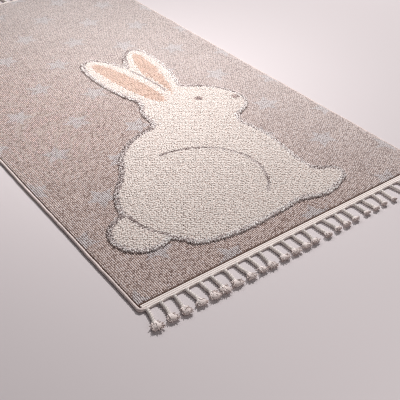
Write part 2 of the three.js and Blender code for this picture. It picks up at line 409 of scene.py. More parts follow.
def line_distance(across, along):
    """How far a place lies from the lines that part the haunch, the tail and the ears."""
    far = 1000.0
    haunch = oval_distance("haunch", across, along)
    centre_x, centre_y, half_wide = BODY_PARTS["haunch"][:3]
    angle = np.arctan2(along - centre_y, across - centre_x)
    past = np.maximum(HAUNCH_LINE_FROM - angle, angle - HAUNCH_LINE_TO)
    on_haunch = np.hypot(haunch + HAUNCH_LINE_INSET, np.maximum(past, 0) * half_wide)
    by_tail = oval_distance("tail", across, along) < TAIL_LINE_REACH
    on_tail = np.where(by_tail, np.abs(haunch), far)
    near_ear = oval_distance("near ear", across, along)
    by_ears = (along > EAR_LINE_START) & (oval_distance("far ear", across, along) < EAR_LINE_REACH)
    on_ear = np.where(by_ears, np.abs(near_ear - 1), far)
    return np.minimum(np.minimum(on_haunch, on_tail), on_ear)


def inner_ear(across, along):
    """Below 0 in the peach part of both ears."""
    near_ear = oval_distance("near ear", across, along)
    behind = np.maximum(oval_distance("far ear", across, along) + FAR_EAR_RIM, EAR_SHADOW - near_ear)
    return np.minimum(near_ear + NEAR_EAR_RIM, behind)


def spot_distance(across, along):
    """How far a place lies outside the eye and the nose, below 0 inside."""
    spots = [np.hypot(across - x, along - y) - radius for x, y, radius in (EYE, NOSE)]
    return np.minimum(*spots)


# Meshes


def ripple(x, y, size, seed):
    """A smooth uneven value from about -1 to 1, changing over that size."""
    total = np.zeros(np.broadcast(x, y).shape)
    for turn in range(4):
        angle = seed * 1.7 + turn * 2.4
        rate = (1 + 0.37 * turn) * 2 * math.pi / size
        across = x * math.cos(angle) + y * math.sin(angle)
        beside = y * math.cos(angle) - x * math.sin(angle)
        total += np.sin(across * rate + seed + 1.3 * np.sin(beside * rate * 0.7 + seed * turn))
    return total / 4


def linked(made):
    """Puts an object into the scene and gives it back."""
    bpy.context.scene.collection.objects.link(made)
    return made


def mesh_object(name, points, faces, materials=(), smooth=True):
    mesh = bpy.data.meshes.new(name)
    mesh.from_pydata(np.asarray(points).tolist(), [], faces)
    for material in materials:
        mesh.materials.append(material)
    if smooth:
        mesh.shade_smooth()
    return linked(bpy.data.objects.new(name, mesh))


def wall_faces(rings, size, first=0):
    """The faces between closed rings of that many points, numbered from `first` on."""
    faces = []
    for low in range(first, first + (rings - 1) * size, size):
        for i in range(size):
            after = (i + 1) % size
            faces.append((low + i, low + after, low + size + after, low + size + i))
    return faces


def loft(rings):
    """Points and faces of a closed body through closed rings of points, with a cap at each end."""
    rings = np.asarray(rings, float)
    count, size = rings.shape[:2]
    last = (count - 1) * size
    caps = [tuple(range(size))[::-1], tuple(range(last, last + size))]
    return rings.reshape(-1, 3), wall_faces(count, size) + caps


FIELDS = {"FLOAT": "value", "FLOAT_VECTOR": "vector", "FLOAT_COLOR": "color"}


def store(made, name, kind, values):
    """Gives each point of a mesh its own value, vector or colour under that name."""
    attribute = made.data.attributes.new(name, kind, "POINT")
    attribute.data.foreach_set(FIELDS[kind], np.asarray(values, np.float32).ravel())


def store_yarn(made, shades):
    """Gives each point of a mesh its yarn's colour."""
    store(made, "yarn", "FLOAT_COLOR", np.c_[shades, np.ones(len(shades))])


def outward(made):
    """Turns the faces of a closed mesh outwards."""
    bpy.context.view_layer.objects.active = made
    made.select_set(True)
    bpy.ops.object.mode_set(mode="EDIT")
    bpy.ops.mesh.select_all(action="SELECT")
    bpy.ops.mesh.normals_make_consistent(inside=False)
    bpy.ops.object.mode_set(mode="OBJECT")
    made.select_set(False)
    return made


def finished(made, slot, *nodes):
    """Fixes a piece to the one body and hides the solids that it stands for. Its yarn, `slot`, is not used.
    """
    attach(made, "root")
    if nodes:
        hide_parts(*nodes)


# Geometry Nodes


def open_tree(name, inputs):
    """A Geometry Nodes tree with a geometry input and named inputs, and its group input."""
    group = bpy.data.node_groups.new(name, "GeometryNodeTree")
    for label, kind in {"Geometry": "Geometry", **inputs}.items():
        group.interface.new_socket(label, in_out="INPUT", socket_type="NodeSocket" + kind)
    group.interface.new_socket("Geometry", in_out="OUTPUT", socket_type="NodeSocketGeometry")
    tree = Tree(group)
    return tree, tree.add("NodeGroupInput")


def close_tree(tree, geometry, given):
    """Ends a tree in real geometry with its material."""
    real = tree.add("GeometryNodeRealizeInstances", None, {"Geometry": geometry})
    inputs = {"Geometry": real, "Material": given.output("Material")}
    coated = tree.add("GeometryNodeSetMaterial", None, inputs)
    tree.add("NodeGroupOutput", None, {"Geometry": coated})
    return tree.nodes


def close_on_points(tree, given, rotation, scale):
    """Ends a tree with its shape set on every point that it is given."""
    shape = tree.add("GeometryNodeObjectInfo", None, {0: given.output("Shape")}, out="Geometry")
    inputs = {"Points": given, "Instance": shape, "Rotation": rotation, "Scale": scale}
    return close_tree(tree, tree.add("GeometryNodeInstanceOnPoints", None, inputs), given)


def grown(made, group, values):
    """Runs a tree on an object and gives back the result as a plain piece of the same name."""
    modifier = made.modifiers.new("grow", "NODES")
    modifier.node_group = group
    for item in group.interface.items_tree:
        if item.item_type == "SOCKET" and item.in_out == "INPUT" and item.name in values:
            modifier[item.identifier] = values[item.name]
    depsgraph = bpy.context.evaluated_depsgraph_get()
    mesh = bpy.data.meshes.new_from_object(made.evaluated_get(depsgraph))
    name = made.name
    made.modifiers.clear()
    bpy.data.objects.remove(made)
    piece = bpy.data.objects.new(name, mesh)
    mesh.name = name
    mesh.shade_smooth()
    return linked(piece)


def planting_tree():
    """Plants one shape on every point, turned, leaned and sized at random from a fixed seed."""
    inputs = {
        "Shape": "Object", "Width": "Float", "Height": "Float", "Spread": "Float", "Lean": "Float",
        "Turn": "Float", "Seed": "Int", "Material": "Material",
    }
    tree, given = open_tree("plant tufts", inputs)
    seed = given.output("Seed")
    lean, turn, spread = given.output("Lean"), given.output("Turn"), given.output("Spread")
    lean_x, lean_y = tree.random(-lean, lean, seed + 1), tree.random(-lean, lean, seed + 2)
    turned = tree.combine(X=lean_x, Y=lean_y, Z=tree.random(-turn, turn, seed + 3))
    grow = tree.named("grow", "FLOAT")
    size = tree.random(1 - spread, 1 + spread, seed + 4) * grow
    wide = given.output("Width") * size
    tall = given.output("Height") * tree.random(1 - spread, 1 + spread, seed + 5) * grow
    return close_on_points(tree, given, turned, tree.combine(X=wide, Y=wide, Z=tall))


def tuft_shape(name, sides, oblong, profile):
    """One tuft, a unit wide and a unit tall, from (radius, height) stations, closed at both ends."""
    angles = np.arange(sides) * 2 * math.pi / sides
    points = [(0, 0, profile[0][1])]
    for radius, height in profile:
        for angle in angles:
            points.append((radius * oblong * math.cos(angle), radius * math.sin(angle), height))
    points.append((0, 0, 1))
    last, top = 1 + (len(profile) - 1) * sides, len(points) - 1
    faces = [(0, 1 + (i + 1) % sides, 1 + i) for i in range(sides)]
    faces += wall_faces(len(profile), sides, 1)
    faces += [(last + i, last + (i + 1) % sides, top) for i in range(sides)]
    made = mesh_object(name, points, faces)
    store(made, "rise", "FLOAT", [point[2] for point in points])
    return made


def ring_shape(name, stations, sides, wander):
    """A closed body a unit long along Z from (height, sideways bend, radius) stations, with painted shade at
    its tip.
    """
    points = []
    for number, (up, bend, radius) in enumerate(stations):
        for i in range(sides):
            angle = 2 * math.pi * i / sides
            uneven = radius * (1 + wander * math.sin(3.7 * i + 2.9 * number))
            points.append((bend + uneven * math.cos(angle), uneven * math.sin(angle), up))
    root_cap = tuple(range(sides))[::-1]
    tip_cap = tuple(range(len(points) - sides, len(points)))
    made = mesh_object(name, points, [root_cap, *wall_faces(len(stations), sides), tip_cap])
    # The rise is turned round, so that the pile's painted shade falls at the tip.
    store(made, "rise", "FLOAT", [1 - point[2] for point in points])
    return made


def points_object(name, places, shades, grow):
    """Bare points that hold the colour and the growth of what is planted on them."""
    made = mesh_object(name, places, [])
    store_yarn(made, shades)
    store(made, "grow", "FLOAT", grow)
    return made


def ring_map(sides, rings):
    """A tuft's points laid flat: the tip in the middle and the root outside."""
    flat = [(0.0, 1.0)]
    for ring in range(rings):
        radius = 0.95 - 0.8 * ring / max(1, rings - 1)
        for i in range(sides):
            angle = 2 * math.pi * i / sides
            flat.append((radius * math.cos(angle), radius * math.sin(angle)))
    flat.append((0.0, 0.0))
    return np.array(flat)


def planted(made, group, shape, flat, values):
    """Grows a shape on every point of an object, and gives each its own square of a map.

    `flat` is where one shape's points lie in its square. The single shape goes away again.
    """
    piece = grown(made, group, {"Shape": shape, **values})
    mesh = piece.data
    per_shape = len(shape.data.vertices)
    side = math.ceil(math.sqrt(len(mesh.vertices) // per_shape))
    corner = np.zeros(len(mesh.loops), np.int64)
    mesh.loops.foreach_get("vertex_index", corner)
    number, point = corner // per_shape, corner % per_shape
    square = np.stack([number % side, number // side], -1)
    places = (square + 0.5 + 0.46 * flat[point]) / side
    layer = mesh.uv_layers.new(name="OFBake")
    layer.data.foreach_set("uv", places.astype(np.float32).ravel())
    bpy.data.objects.remove(shape)
    return piece


def loom_points(column, row, jitter, draw):
    """Places in rows like a loom's, every other row moved by half a column, a little out of line."""
    rows = np.arange(FIGURE_ALONG[0], FIGURE_ALONG[1], row)
    columns = np.arange(FIGURE_ACROSS[0], FIGURE_ACROSS[1], column)
    across, along = np.meshgrid(columns, rows)
    across = across + (np.arange(len(rows)) % 2)[:, None] * column / 2
    places = np.stack([across.ravel(), along.ravel()], -1)
    return places + draw.uniform(-jitter, jitter, places.shape) * (column, row)


# Finishes

FLECK_STOPS = (0.0, 0.4, 0.84, 1.0)
FLECK_SPREAD = 2.1
LOOP_SHARE = 0.45
PLY_SHARE = 0.6
PATCH_STRENGTH = 0.1
STAR_STRENGTH = 0.64
VALLEY_STRENGTH = 0.82
LOOP_END_STRENGTH = 0.34
PAINTED_FAR_LIGHT_STRENGTH = 0.26
GROOVE_RAGGED = 2.5 * MM
STAR_NOTCH = 0.48
STAR_SOFTNESS = 3 * MM
FINE_FIBRES = 900.0


def ground_finish(sizes, colours):
    """Low melange pile: ribs of small loops, each loop its own shade, with faint stars, painted shade in the
    valleys and the groove, and painted light towards the far right.
    """
    finish = Finish("woven_ground")
    x, y = finish.across_along()
    lane = finish.attribute("lane", "Fac")
    column = lane.math("FLOOR")
    row = y / sizes.loop_pitch + (column * 0.5).math("FRACT")
    ply_row = y / (PLY_SHARE * sizes.loop_pitch)
    loop_chance, ply_chance = finish.cell_chance(lane, row), finish.cell_chance(lane * 2, ply_row)
    chance = loop_chance * LOOP_SHARE + ply_chance * (1 - LOOP_SHARE)
    clump = finish.noise(190.0, 1.0)
    fleck = (chance - 0.5) * FLECK_SPREAD + 0.5 + (clump - 0.5) * 0.04
    shades = (colours.ground_dark, colours.ground, colours.ground_light, colours.ground_rose)
    shade = finish.add("ShaderNodeValToRGB", {"stops": list(zip(FLECK_STOPS, shades))}, {0: fleck})

    inputs = {0: finish.place, 1: (1.0, 3.2, 1.0)}
    squeezed = finish.add("ShaderNodeVectorMath", {"operation": "MULTIPLY"}, inputs)
    patch = finish.noise(5.0, 3.0, spot=squeezed)
    shade = finish.tint(shade, colours.ground_dark, finish.step(patch, 0.56, 0.4) * PATCH_STRENGTH)
    ragged = finish.step(star_mask(finish, x, y, sizes) + (chance - 0.5) * FLECK_SPREAD, 0.2, 0.8)
    shade = finish.tint(shade, colours.star, ragged * STAR_STRENGTH)

    along_loop = (row.math("FRACT") - 0.5).math("ABSOLUTE")
    across_loop = (lane.math("FRACT") - 0.5).math("ABSOLUTE")
    # Painted shade: the valleys between the ribs and the ends of the loops are tinted towards the valley
    # colour.
    valley_painted_shade = finish.step(across_loop, 0.2, 0.44) * VALLEY_STRENGTH
    loop_end_painted_shade = finish.step(along_loop, 0.3, 0.5) * LOOP_END_STRENGTH
    shade = finish.tint(shade, colours.valley_painted_shade, valley_painted_shade.math("MAXIMUM", loop_end_painted_shade))
    # Painted light: the pile is tinted paler towards the far right.
    painted_far_light = finish.step(x + y * 0.35, -0.28, 0.36)
    shade = finish.tint(shade, colours.painted_far_light, painted_far_light * PAINTED_FAR_LIGHT_STRENGTH)

    # Painted shade in the groove at the pile's rim, over the real dip that rim_drop gives the mesh.
    half_wide, half_long = RUG_HIGH.x - PIECE_GAP, RUG_HIGH.y - PIECE_GAP
    rim = (half_wide - x.math("ABSOLUTE")).math("MINIMUM", half_long - y.math("ABSOLUTE"))
    rim = rim + (clump - 0.5) * GROOVE_RAGGED
    groove = finish.step(rim, sizes.groove_width, 0.5 * sizes.groove_width)
    shade = finish.tint(shade, colours.groove, groove)
    fibres = finish.noise(1500.0, 2.0)
    round_loop = 1 - along_loop * along_loop * 2.4 - across_loop * across_loop * 2.4
    return finish.close(shade, 0.95, round_loop + chance * 0.5 + fibres * 0.3, 0.9 * MM, 0.5)


def star_mask(finish, x, y, sizes):
    """1 inside five-pointed stars that stand in columns, every other column dropped by half."""
    column_place = x / sizes.star_column
    column = column_place.math("FLOOR")
    from_middle_x = (column_place.math("FRACT") - 0.5) * sizes.star_column
    row_place = y / sizes.star_repeat + (column * 0.5).math("FRACT")
    from_middle_y = (row_place.math("FRACT") - 0.5) * sizes.star_repeat
    turn = column * 0.9 + row_place.math("FLOOR") * 0.5
    angle = from_middle_y.math("ARCTAN2", from_middle_x) + turn
    fifth = 2 * math.pi / 5
    fold = ((angle / fifth).math("FRACT") - 0.5).math("ABSOLUTE") * fifth
    distance = (from_middle_x * from_middle_x + from_middle_y * from_middle_y).math("SQRT")
    tip, notch = sizes.star_radius, sizes.star_radius * STAR_NOTCH
    notch_x, notch_y = notch * math.cos(fifth / 2), notch * math.sin(fifth / 2)
    along_x, along_y = notch_x - tip, notch_y
    size = math.hypot(along_x, along_y)
    normal_x, normal_y = along_y / size, -along_x / size
    outside = distance * (fold.math("COSINE") * normal_x + fold.math("SINE") * normal_y) - tip * normal_x
    return finish.step(outside, STAR_SOFTNESS, -STAR_SOFTNESS)


def yarn_finish(name, shade, wander, grain, depth):
    """Plain yarn of one shade, uneven by `wander`, with fibres of that grain."""
    finish = Finish(name)
    patch = finish.noise(60.0, 3.0)
    fibres = finish.noise(grain, 3.0, 0.7)
    full = finish.step(patch * 0.5 + fibres * 0.5, 0.36, 0.6)
    return finish.close(finish.tint(opaque(scaled(shade, 1 - wander)), shade, full), 0.92, fibres, depth)


def tape_finish(sizes, colours):
    """The tape's yarn, with random darker fibres and painted shade in the valleys between its ribs."""
    finish = Finish("tape_yarn")
    y = finish.across_along()[1]
    rib = (y.math("ABSOLUTE") - RUG_HIGH.y - PIECE_GAP) / (sizes.tape_width / TAPE_RIBS)
    from_valley = ((rib + 0.5).math("FRACT") - 0.5).math("ABSOLUTE")
    fibres = finish.noise(FINE_FIBRES, 3.0, 0.7)
    deep = finish.step(fibres, 0.6, 0.35) * 0.34
    shade = finish.tint(opaque(colours.fringe), colours.brushed_taupe_and_painted_shade, deep)
    # Painted shade in the valleys between the tape's ribs.
    shade = finish.tint(shade, colours.brushed_taupe_and_painted_shade, finish.step(from_valley, 0.2, 0.04) * 0.75)
    return finish.close(shade, 0.92, fibres, 0.4 * MM)


def pile_finish(name, fibre_tone_and_painted_root_shade, root_share):
    """Tufted pile: the colour of each tuft is its own, with painted shade where its rise is low and random
    darker fibres.
    """
    finish = Finish(name)
    # Painted shade where the rise is low: at the root of a tuft and at the tip of a brushed lock or core.
    root = finish.step(finish.attribute("rise", "Fac"), 0.75, 0.1) * root_share
    fibres = finish.noise(FINE_FIBRES, 2.0, 0.7)
    shade = finish.tint(finish.attribute("yarn"), fibre_tone_and_painted_root_shade, root)
    shade = finish.tint(shade, fibre_tone_and_painted_root_shade, finish.step(fibres, 0.55, 0.3) * 0.16)
    return finish.close(shade, 0.95, fibres, 0.3 * MM)


# The woven ground


def rim_drop(from_rim, sizes):
    """How far the pile's top falls off towards its rim, where it leaves a groove beside the edge."""
    slope = 2.2 * MM * np.exp(-from_rim / (9 * MM))
    return slope + 2.4 * MM * np.exp(-((from_rim / (0.85 * sizes.groove_width)) ** 2))


def ground_rings(sizes):
    """Closed rings across the rug with ribs along their tops, and the count of ribs left of each point."""
    half = (RUG_HIGH.x - RUG_LOW.x) / 2
    chamfer = 1.2 * MM
    ribs = round(2 * half / sizes.rib_pitch)
    steps = np.arange(2 * ribs + 1)
    across = -half + steps * (half / ribs)
    rib = np.where(steps % 2 == 1, 0.0, -sizes.rib_height)
    beside_groove = np.array([-half + 0.7 * MM, half - 0.7 * MM])
    across = np.concatenate([across, beside_groove])
    order = np.argsort(across)
    across, rib = across[order], np.concatenate([rib, [0, 0]])[order]
    from_side = half - np.abs(across)
    rows = round((RUG_HIGH.y - RUG_LOW.y) / sizes.row_step)
    along = np.linspace(RUG_LOW.y, RUG_HIGH.y, rows + 1)
    hems = np.array([0.0, 0.7, 1.5, 2.6, 4.5]) * MM
    along = np.sort(np.concatenate([along[1:-1], RUG_LOW.y + hems, RUG_HIGH.y - hems]))
    under_x = [half, half - chamfer, 0, chamfer - half, -half]
    under_z = [chamfer, 0, 0, 0, chamfer]
    rings = []
    for y in along:
        from_rim = np.minimum(from_side, min(y - RUG_LOW.y, RUG_HIGH.y - y))
        uneven = 0.25 * MM * ripple(across, y, 0.11, 3) + 0.03 * MM * ripple(across, y, 0.015, 5)
        top = sizes.ground_height + rib + uneven - rim_drop(from_rim, sizes)
        sway = 0.75 * MM * ripple(across * 0.15, y, 0.05, 8) + 0.4 * MM * ripple(across * 0.3, y, 0.019, 4)
        sway = sway * np.clip(from_side / (12 * MM), 0, 1)
        upper = np.stack([across + sway, np.full_like(across, y), top], -1)
        rings.append(np.concatenate([upper, np.stack([under_x, np.full(5, y), under_z], -1)]))
    return rings, (np.concatenate([across, under_x]) + half) * ribs / (2 * half)


class RUG_OT_ground(bpy.types.Operator):
    """Weaves the low beige pile with its ribs, flecks and faint stars."""

    bl_idname = "rug.ground"
    bl_label = "Woven Ground"

    def execute(self, context):
        sizes, colours = context.scene.rug_sizes, context.scene.rug_colours
        rings, lanes = ground_rings(sizes)
        points, faces = loft(rings)
        backing = yarn_finish("backing_canvas", colours.backing, 0.2, 700.0, 0.4 * MM)
        made = mesh_object("rug_ground", points, faces, [ground_finish(sizes, colours), backing])
        size = len(rings[0])
        walls = len(faces) - 2
        under = (size - 5, size - 4, size - 3)
        slots = np.zeros(len(faces), np.int32)
        slots[:walls] = np.isin(np.arange(walls) % size, under)
        made.data.polygons.foreach_set("material_index", slots)
        store(made, "lane", "FLOAT", np.tile(lanes, len(rings)))
        finished(outward(made), "pile", "rug")
        return {"FINISHED"}


# The raised rabbit: tufts as (radius, height) stations, and its pile's parts by their reach along the rug

CREAM_TUFT = ((0.5, 0.0), (0.45, 0.64))
CREAM_TUFT_OBLONG = 1.42
CONTOUR_TUFT = ((0.48, 0.0), (0.4, 0.6))
TUFT_SIDES = 4
PILE_PARTS = {"lower_tufts": (0, 390), "upper_tufts": (390, 1000)}

# In millimetres: the mound under the tufts, the tufts' roots over the floor and the contour's rims
BASE_STEP = 8.0
BASE_REACH = 13
BASE_FOOT = 6
BASE_SUNK, BASE_RISE = 0.6, 2.6
CREAM_ROOT, CONTOUR_ROOT = 10.0, 10.4
DOME_REACH, DOME_RISE = 14, 0.9
WAVE_RISE = 0.45
OUTER_ROW = 1.6
BEHIND_WIDER, BEHIND_HIGHER = 3.5, 0.6


def figure_base(sizes, colours):
    """A low mound under the tufts, so that no ground shows between them."""
    columns = np.arange(*FIGURE_ACROSS, BASE_STEP)
    rows = np.arange(*FIGURE_ALONG, BASE_STEP)
    across, along = np.meshgrid(columns, rows)
    distance = figure_distance(across, along)
    close = distance < BASE_REACH
    r, c = np.nonzero(close[:-1, :-1] & close[1:, 1:] & close[:-1, 1:] & close[1:, :-1])
    used = np.zeros(across.shape, bool)
    for down, right in ((0, 0), (0, 1), (1, 0), (1, 1)):
        used[r + down, c + right] = True
    number = np.full(across.shape, -1)
    number[used] = np.arange(used.sum())
    across, along, distance = across[used], along[used], distance[used]
    rise = BASE_RISE * np.clip((8 - distance) / 10, 0, 1)
    x, y = across * MM, along * MM + RUG_LOW.y
    top = (sizes.ground_height / MM - BASE_SUNK + rise + 0.3 * ripple(x, y, 0.03, 2)) * MM
    upper = np.stack([x, y, top], -1)
    lower = np.stack([x, y, np.full_like(x, BASE_FOOT * MM)], -1)
    corners = [number[r, c], number[r, c + 1], number[r + 1, c + 1], number[r + 1, c]]
    upper_faces = np.stack(corners, -1)
    lower_faces = (upper_faces[:, ::-1] + len(upper)).tolist()
    upper_faces = upper_faces.tolist()
    edges = [edge for face in upper_faces for edge in zip(face, face[1:] + face[:1])]
    known = set(edges)
    rim = [(start, end) for start, end in edges if (end, start) not in known]
    walls = [(start, start + len(upper), end + len(upper), end) for start, end in rim]
    made = mesh_object("rabbit_base", np.concatenate([upper, lower]), upper_faces + lower_faces + walls)
    # Painted shade: the mound between the tufts takes darker copies of the cream, the peach and the grey.
    shades = np.tile(scaled(colours.cream_tone_and_painted_shade, 0.92), (len(upper), 1))
    shades[inner_ear(across, along) < 0] = scaled(colours.peach, 0.85)
    shades[(distance > 0) | (line_distance(across, along) < 5)] = scaled(colours.grey_mid, 0.7)
    store_yarn(made, np.concatenate([shades, shades]))
    # A middling rise, so that the pile's painted root shade darkens the mound a little.
    store(made, "rise", "FLOAT", np.full(2 * len(upper), 0.6))
    return outward(made)


def figure_planting(sizes, colours, part):
    """The tufts of the cream body and the peach ears of one part: places, shades and growth."""
    draw = np.random.default_rng(11)
    places = loom_points(sizes.tuft_across / MM, sizes.tuft_along / MM, 0.3, draw)
    across, along = places.T
    distance = figure_distance(across, along)
    clear = line_distance(across, along) > sizes.line_width / MM / 2 - 1
    clear &= spot_distance(across, along) > 0
    keep = (distance < 0.5) & clear & (along >= part[0]) & (along < part[1])
    across, along, distance = across[keep], along[keep], distance[keep]
    x, y = across * MM, along * MM + RUG_LOW.y
    dome = np.clip(-distance / DOME_REACH, 0, 1)
    height = CREAM_ROOT + DOME_RISE * dome * (2 - dome) + 0.35 * ripple(x, y, 0.045, 6)
    wave = np.sin(2 * math.pi * (along / 8.7 + across / 11.8 + 0.3 * ripple(across, along, 50, 3)))
    height += WAVE_RISE * wave
    # Darker tufts at random, and painted shade where the diagonal wave of the pile dips lower.
    amount = np.clip(draw.random(len(across)) ** 2 - 0.2 * wave, 0, 1)[:, None]
    shades = np.array(colours.cream) * (1 - amount) + np.array(colours.cream_tone_and_painted_shade) * amount
    peach = inner_ear(across, along) + draw.normal(0, 3.2, len(across)) < 0
    shades[peach] = np.array(colours.peach) * draw.uniform(0.86, 1.08, (peach.sum(), 1))
    return np.stack([x, y, height * MM], -1), np.clip(shades, 0, 1), np.ones(len(across))


def contour_planting(sizes, colours):
    """The mottled grey tufts of the contour, the lines, the eye and the nose."""
    draw = np.random.default_rng(23)
    places = loom_points(sizes.contour_pitch / MM, 0.92 * sizes.contour_pitch / MM, 0.34, draw)
    across, along = places.T
    distance = figure_distance(across, along)
    facing_x = figure_distance(across + 1, along) - distance
    facing_y = figure_distance(across, along + 1) - distance
    behind = np.clip(facing_y, 0, 1)
    reach = sizes.contour_width / MM + 1.4 * ripple(across, along, 17, 4) + BEHIND_WIDER * behind
    band = (distance >= -0.5) & (distance < reach)
    line = (line_distance(across, along) < sizes.line_width / MM / 2) & (distance < 0)
    spot = spot_distance(across, along) < 0
    outer = (distance > reach - OUTER_ROW) & ~spot & ~line
    keep = band | line | spot
    across, along, facing_x, facing_y = across[keep], along[keep], facing_x[keep], facing_y[keep]
    line, spot, outer, behind = line[keep], spot[keep], outer[keep], behind[keep]
    x, y = across * MM, along * MM + RUG_LOW.y
    height = CONTOUR_ROOT + 0.5 * ripple(x, y, 0.02, 9) + BEHIND_HIGHER * behind
    # Painted shade and light by side: the outline is painted darker on its far side, which faces the lamp,
    # and lighter on its near side, over a random mottle.
    mottle_and_painted_side_shade = 0.66 + 0.02 * facing_x - 0.13 * facing_y - 0.3 * behind
    mottle_and_painted_side_shade = mottle_and_painted_side_shade + 0.3 * ripple(across, along, 21, 7) + draw.uniform(-0.5, 0.5, len(across))
    mottle_and_painted_side_shade = np.clip(mottle_and_painted_side_shade, 0, 1)[:, None]
    dark, middle, light = (np.array(c) for c in (colours.grey_dark, colours.grey_mid, colours.grey_light))
    darker, lighter = dark + (middle - dark) * mottle_and_painted_side_shade * 2, middle + (light - middle) * (mottle_and_painted_side_shade * 2 - 1)
    shades = np.where(mottle_and_painted_side_shade < 0.5, darker, lighter)
    # Painted shadow: on the lower left side, away from the lamp, the outer row of the contour is painted
    # dark; the eye and the nose are dark yarn.
    deep = spot | (outer & (facing_x + facing_y < -0.1))
    shades[deep] = dark * draw.uniform(0.7, 1.9, (deep.sum(), 1))
    shades[line] = shades[line] * 0.5 + dark * 0.5
    grow = np.where(outer, 0.6, 1.0)
    return np.stack([x, y, height * MM], -1), np.clip(shades, 0, 1), grow


def tufted(name, planting, oblong, profile, values):
    """A piece of pile: tufts of one shape on the points of a planting."""
    shape = tuft_shape(name + "_shape", TUFT_SIDES, oblong, profile)
    flat = ring_map(TUFT_SIDES, len(profile))
    return planted(points_object(name, *planting), planting_tree(), shape, flat, values)


class RUG_OT_rabbit(bpy.types.Operator):
    """Tufts the raised cream rabbit with its peach inner ears."""

    bl_idname = "rug.rabbit"
    bl_label = "Raised Rabbit"

    def execute(self, context):
        sizes, colours = context.scene.rug_sizes, context.scene.rug_colours
        # Painted shade at the roots of the rabbit's tufts, from a darker copy of the cream.
        material = pile_finish("rabbit_pile_yarn", scaled(colours.cream_tone_and_painted_shade, 0.78), 0.22)
        base = figure_base(sizes, colours)
        base.data.materials.append(material)
        finished(base, "pile")
        values = {
            "Width": sizes.tuft_across, "Height": sizes.tuft_height, "Spread": 0.06, "Lean": 0.14,
            "Turn": 0.35, "Seed": 5, "Material": material,
        }
        for name, part in PILE_PARTS.items():
            planting = figure_planting(sizes, colours, part)
            finished(tufted(name, planting, CREAM_TUFT_OBLONG, CREAM_TUFT, values), "pile")
        return {"FINISHED"}


class RUG_OT_contour(bpy.types.Operator):
    """Tufts the mottled grey contour, the parting lines, the eye and the nose."""

    bl_idname = "rug.contour"
    bl_label = "Grey Contour"

    def execute(self, context):
        sizes, colours = context.scene.rug_sizes, context.scene.rug_colours
        values = {
            "Width": sizes.contour_tuft_width, "Height": sizes.contour_tuft_height, "Spread": 0.16,
            "Lean": 0.5, "Turn": math.pi, "Seed": 9,
            # Painted shade at the roots of the contour's tufts, from a darker copy of the dark grey.
            "Material": pile_finish("contour_pile_yarn", scaled(colours.grey_dark, 0.6), 0.24),
        }
        planting = contour_planting(sizes, colours)
        finished(tufted("contour_tufts", planting, 1.0, CONTOUR_TUFT, values), "pile")
        return {"FINISHED"}


# The wound edges


CORNER_RADIUS = 6.0 * MM
CORNER_REACH = 5.7 * MM
EDGE_SLANT = 1.1 * MM


def edge_path(side, pitch):
    """The middle of an edge's roll, from one corner of the rug to the other: places and thickness.

    At each corner the roll turns onto the tape, thickens and dies away into it.
    """
    middle = FRAME_HIGH.x - EDGE_HALF_WIDTH
    turn = CORNER_RADIUS
    corner = RUG_HIGH.y + PIECE_GAP + CORNER_REACH
    straight = np.arange(0, corner, pitch)
    quarter = np.radians(np.arange(0, 91, 18))
    tail = np.arange(2, 13, 2) * MM
    x_parts = [np.full(len(straight), middle), middle - turn + turn * np.cos(quarter), middle - turn - tail]
    y_parts = [straight, corner + turn * np.sin(quarter), np.full(len(tail), corner + turn)]
    past_corner = np.concatenate([straight - corner, turn * quarter, turn * quarter[-1] + tail])
    knob = 0.2 * np.exp(-(((past_corner - 6 * MM) / (7 * MM)) ** 2))
    thin = 1 - 0.55 * np.clip((past_corner - 10 * MM) / (11 * MM), 0, 1)
    half = np.stack([side * np.concatenate(x_parts), np.concatenate(y_parts), (1 + knob) * thin], -1)
    return np.concatenate([half[:0:-1] * (1, -1, 1), half])


def edge_piece(name, side, sizes, material):
    """A wound roll of yarn: its path, with one slanted turn after the other on it."""
    rings_of_turn = 3
    path = edge_path(side, sizes.wrap_pitch / rings_of_turn)
    tangent = np.gradient(path[:, :2], axis=0)
    tangent /= np.linalg.norm(tangent, axis=1)[:, None]
    angles = np.linspace(0, 2 * math.pi, 12, endpoint=False) - math.pi / 2
    across = EDGE_HALF_WIDTH * np.cos(angles)
    up = 0.5 * sizes.edge_height * (1 + np.sin(angles))
    slant = EDGE_SLANT * np.sin(angles + 0.4)
    rings = []
    for number, (x, y, thick) in enumerate(path):
        turn = number / rings_of_turn
        swell = 0.96 + 0.13 * abs(math.sin(math.pi * turn))
        swell += 0.05 * math.sin(turn * 1.9) + 0.04 * math.sin(turn * 0.37)
        along = tangent[number]
        sideways = np.array([along[1], -along[0]])
        sway = 0.3 * MM * math.sin(y * 23 + side) + 0.25 * MM * math.sin(y * 71 + 2 * math.sin(y * 31))
        middle = np.array([x, y]) + sideways * sway
        flat = middle + (across * thick * swell)[:, None] * sideways + slant[:, None] * along
        rings.append(np.c_[flat, up * (0.5 + 0.5 * thick) * (0.96 + 0.4 * (swell - 1))])
    points, faces = loft(rings)
    return outward(mesh_object(name, points, faces, [material]))


class RUG_OT_edges(bpy.types.Operator):
    """Winds cream yarn over the two long edges."""

    bl_idname = "rug.edges"
    bl_label = "Wound Edges"

    def execute(self, context):
        sizes, colours = context.scene.rug_sizes, context.scene.rug_colours
        material = yarn_finish("edge_yarn", colours.edge, 0.22, 1100.0, 0.5 * MM)
        for label, side in SIDES.items():
            made = edge_piece("edge_" + label, side, sizes, material)
            finished(made, "edge_yarn", "binding_" + label)
        return {"FINISHED"}


# The fringe: the stations of a lock and of a core are (height, sideways bend, radius)

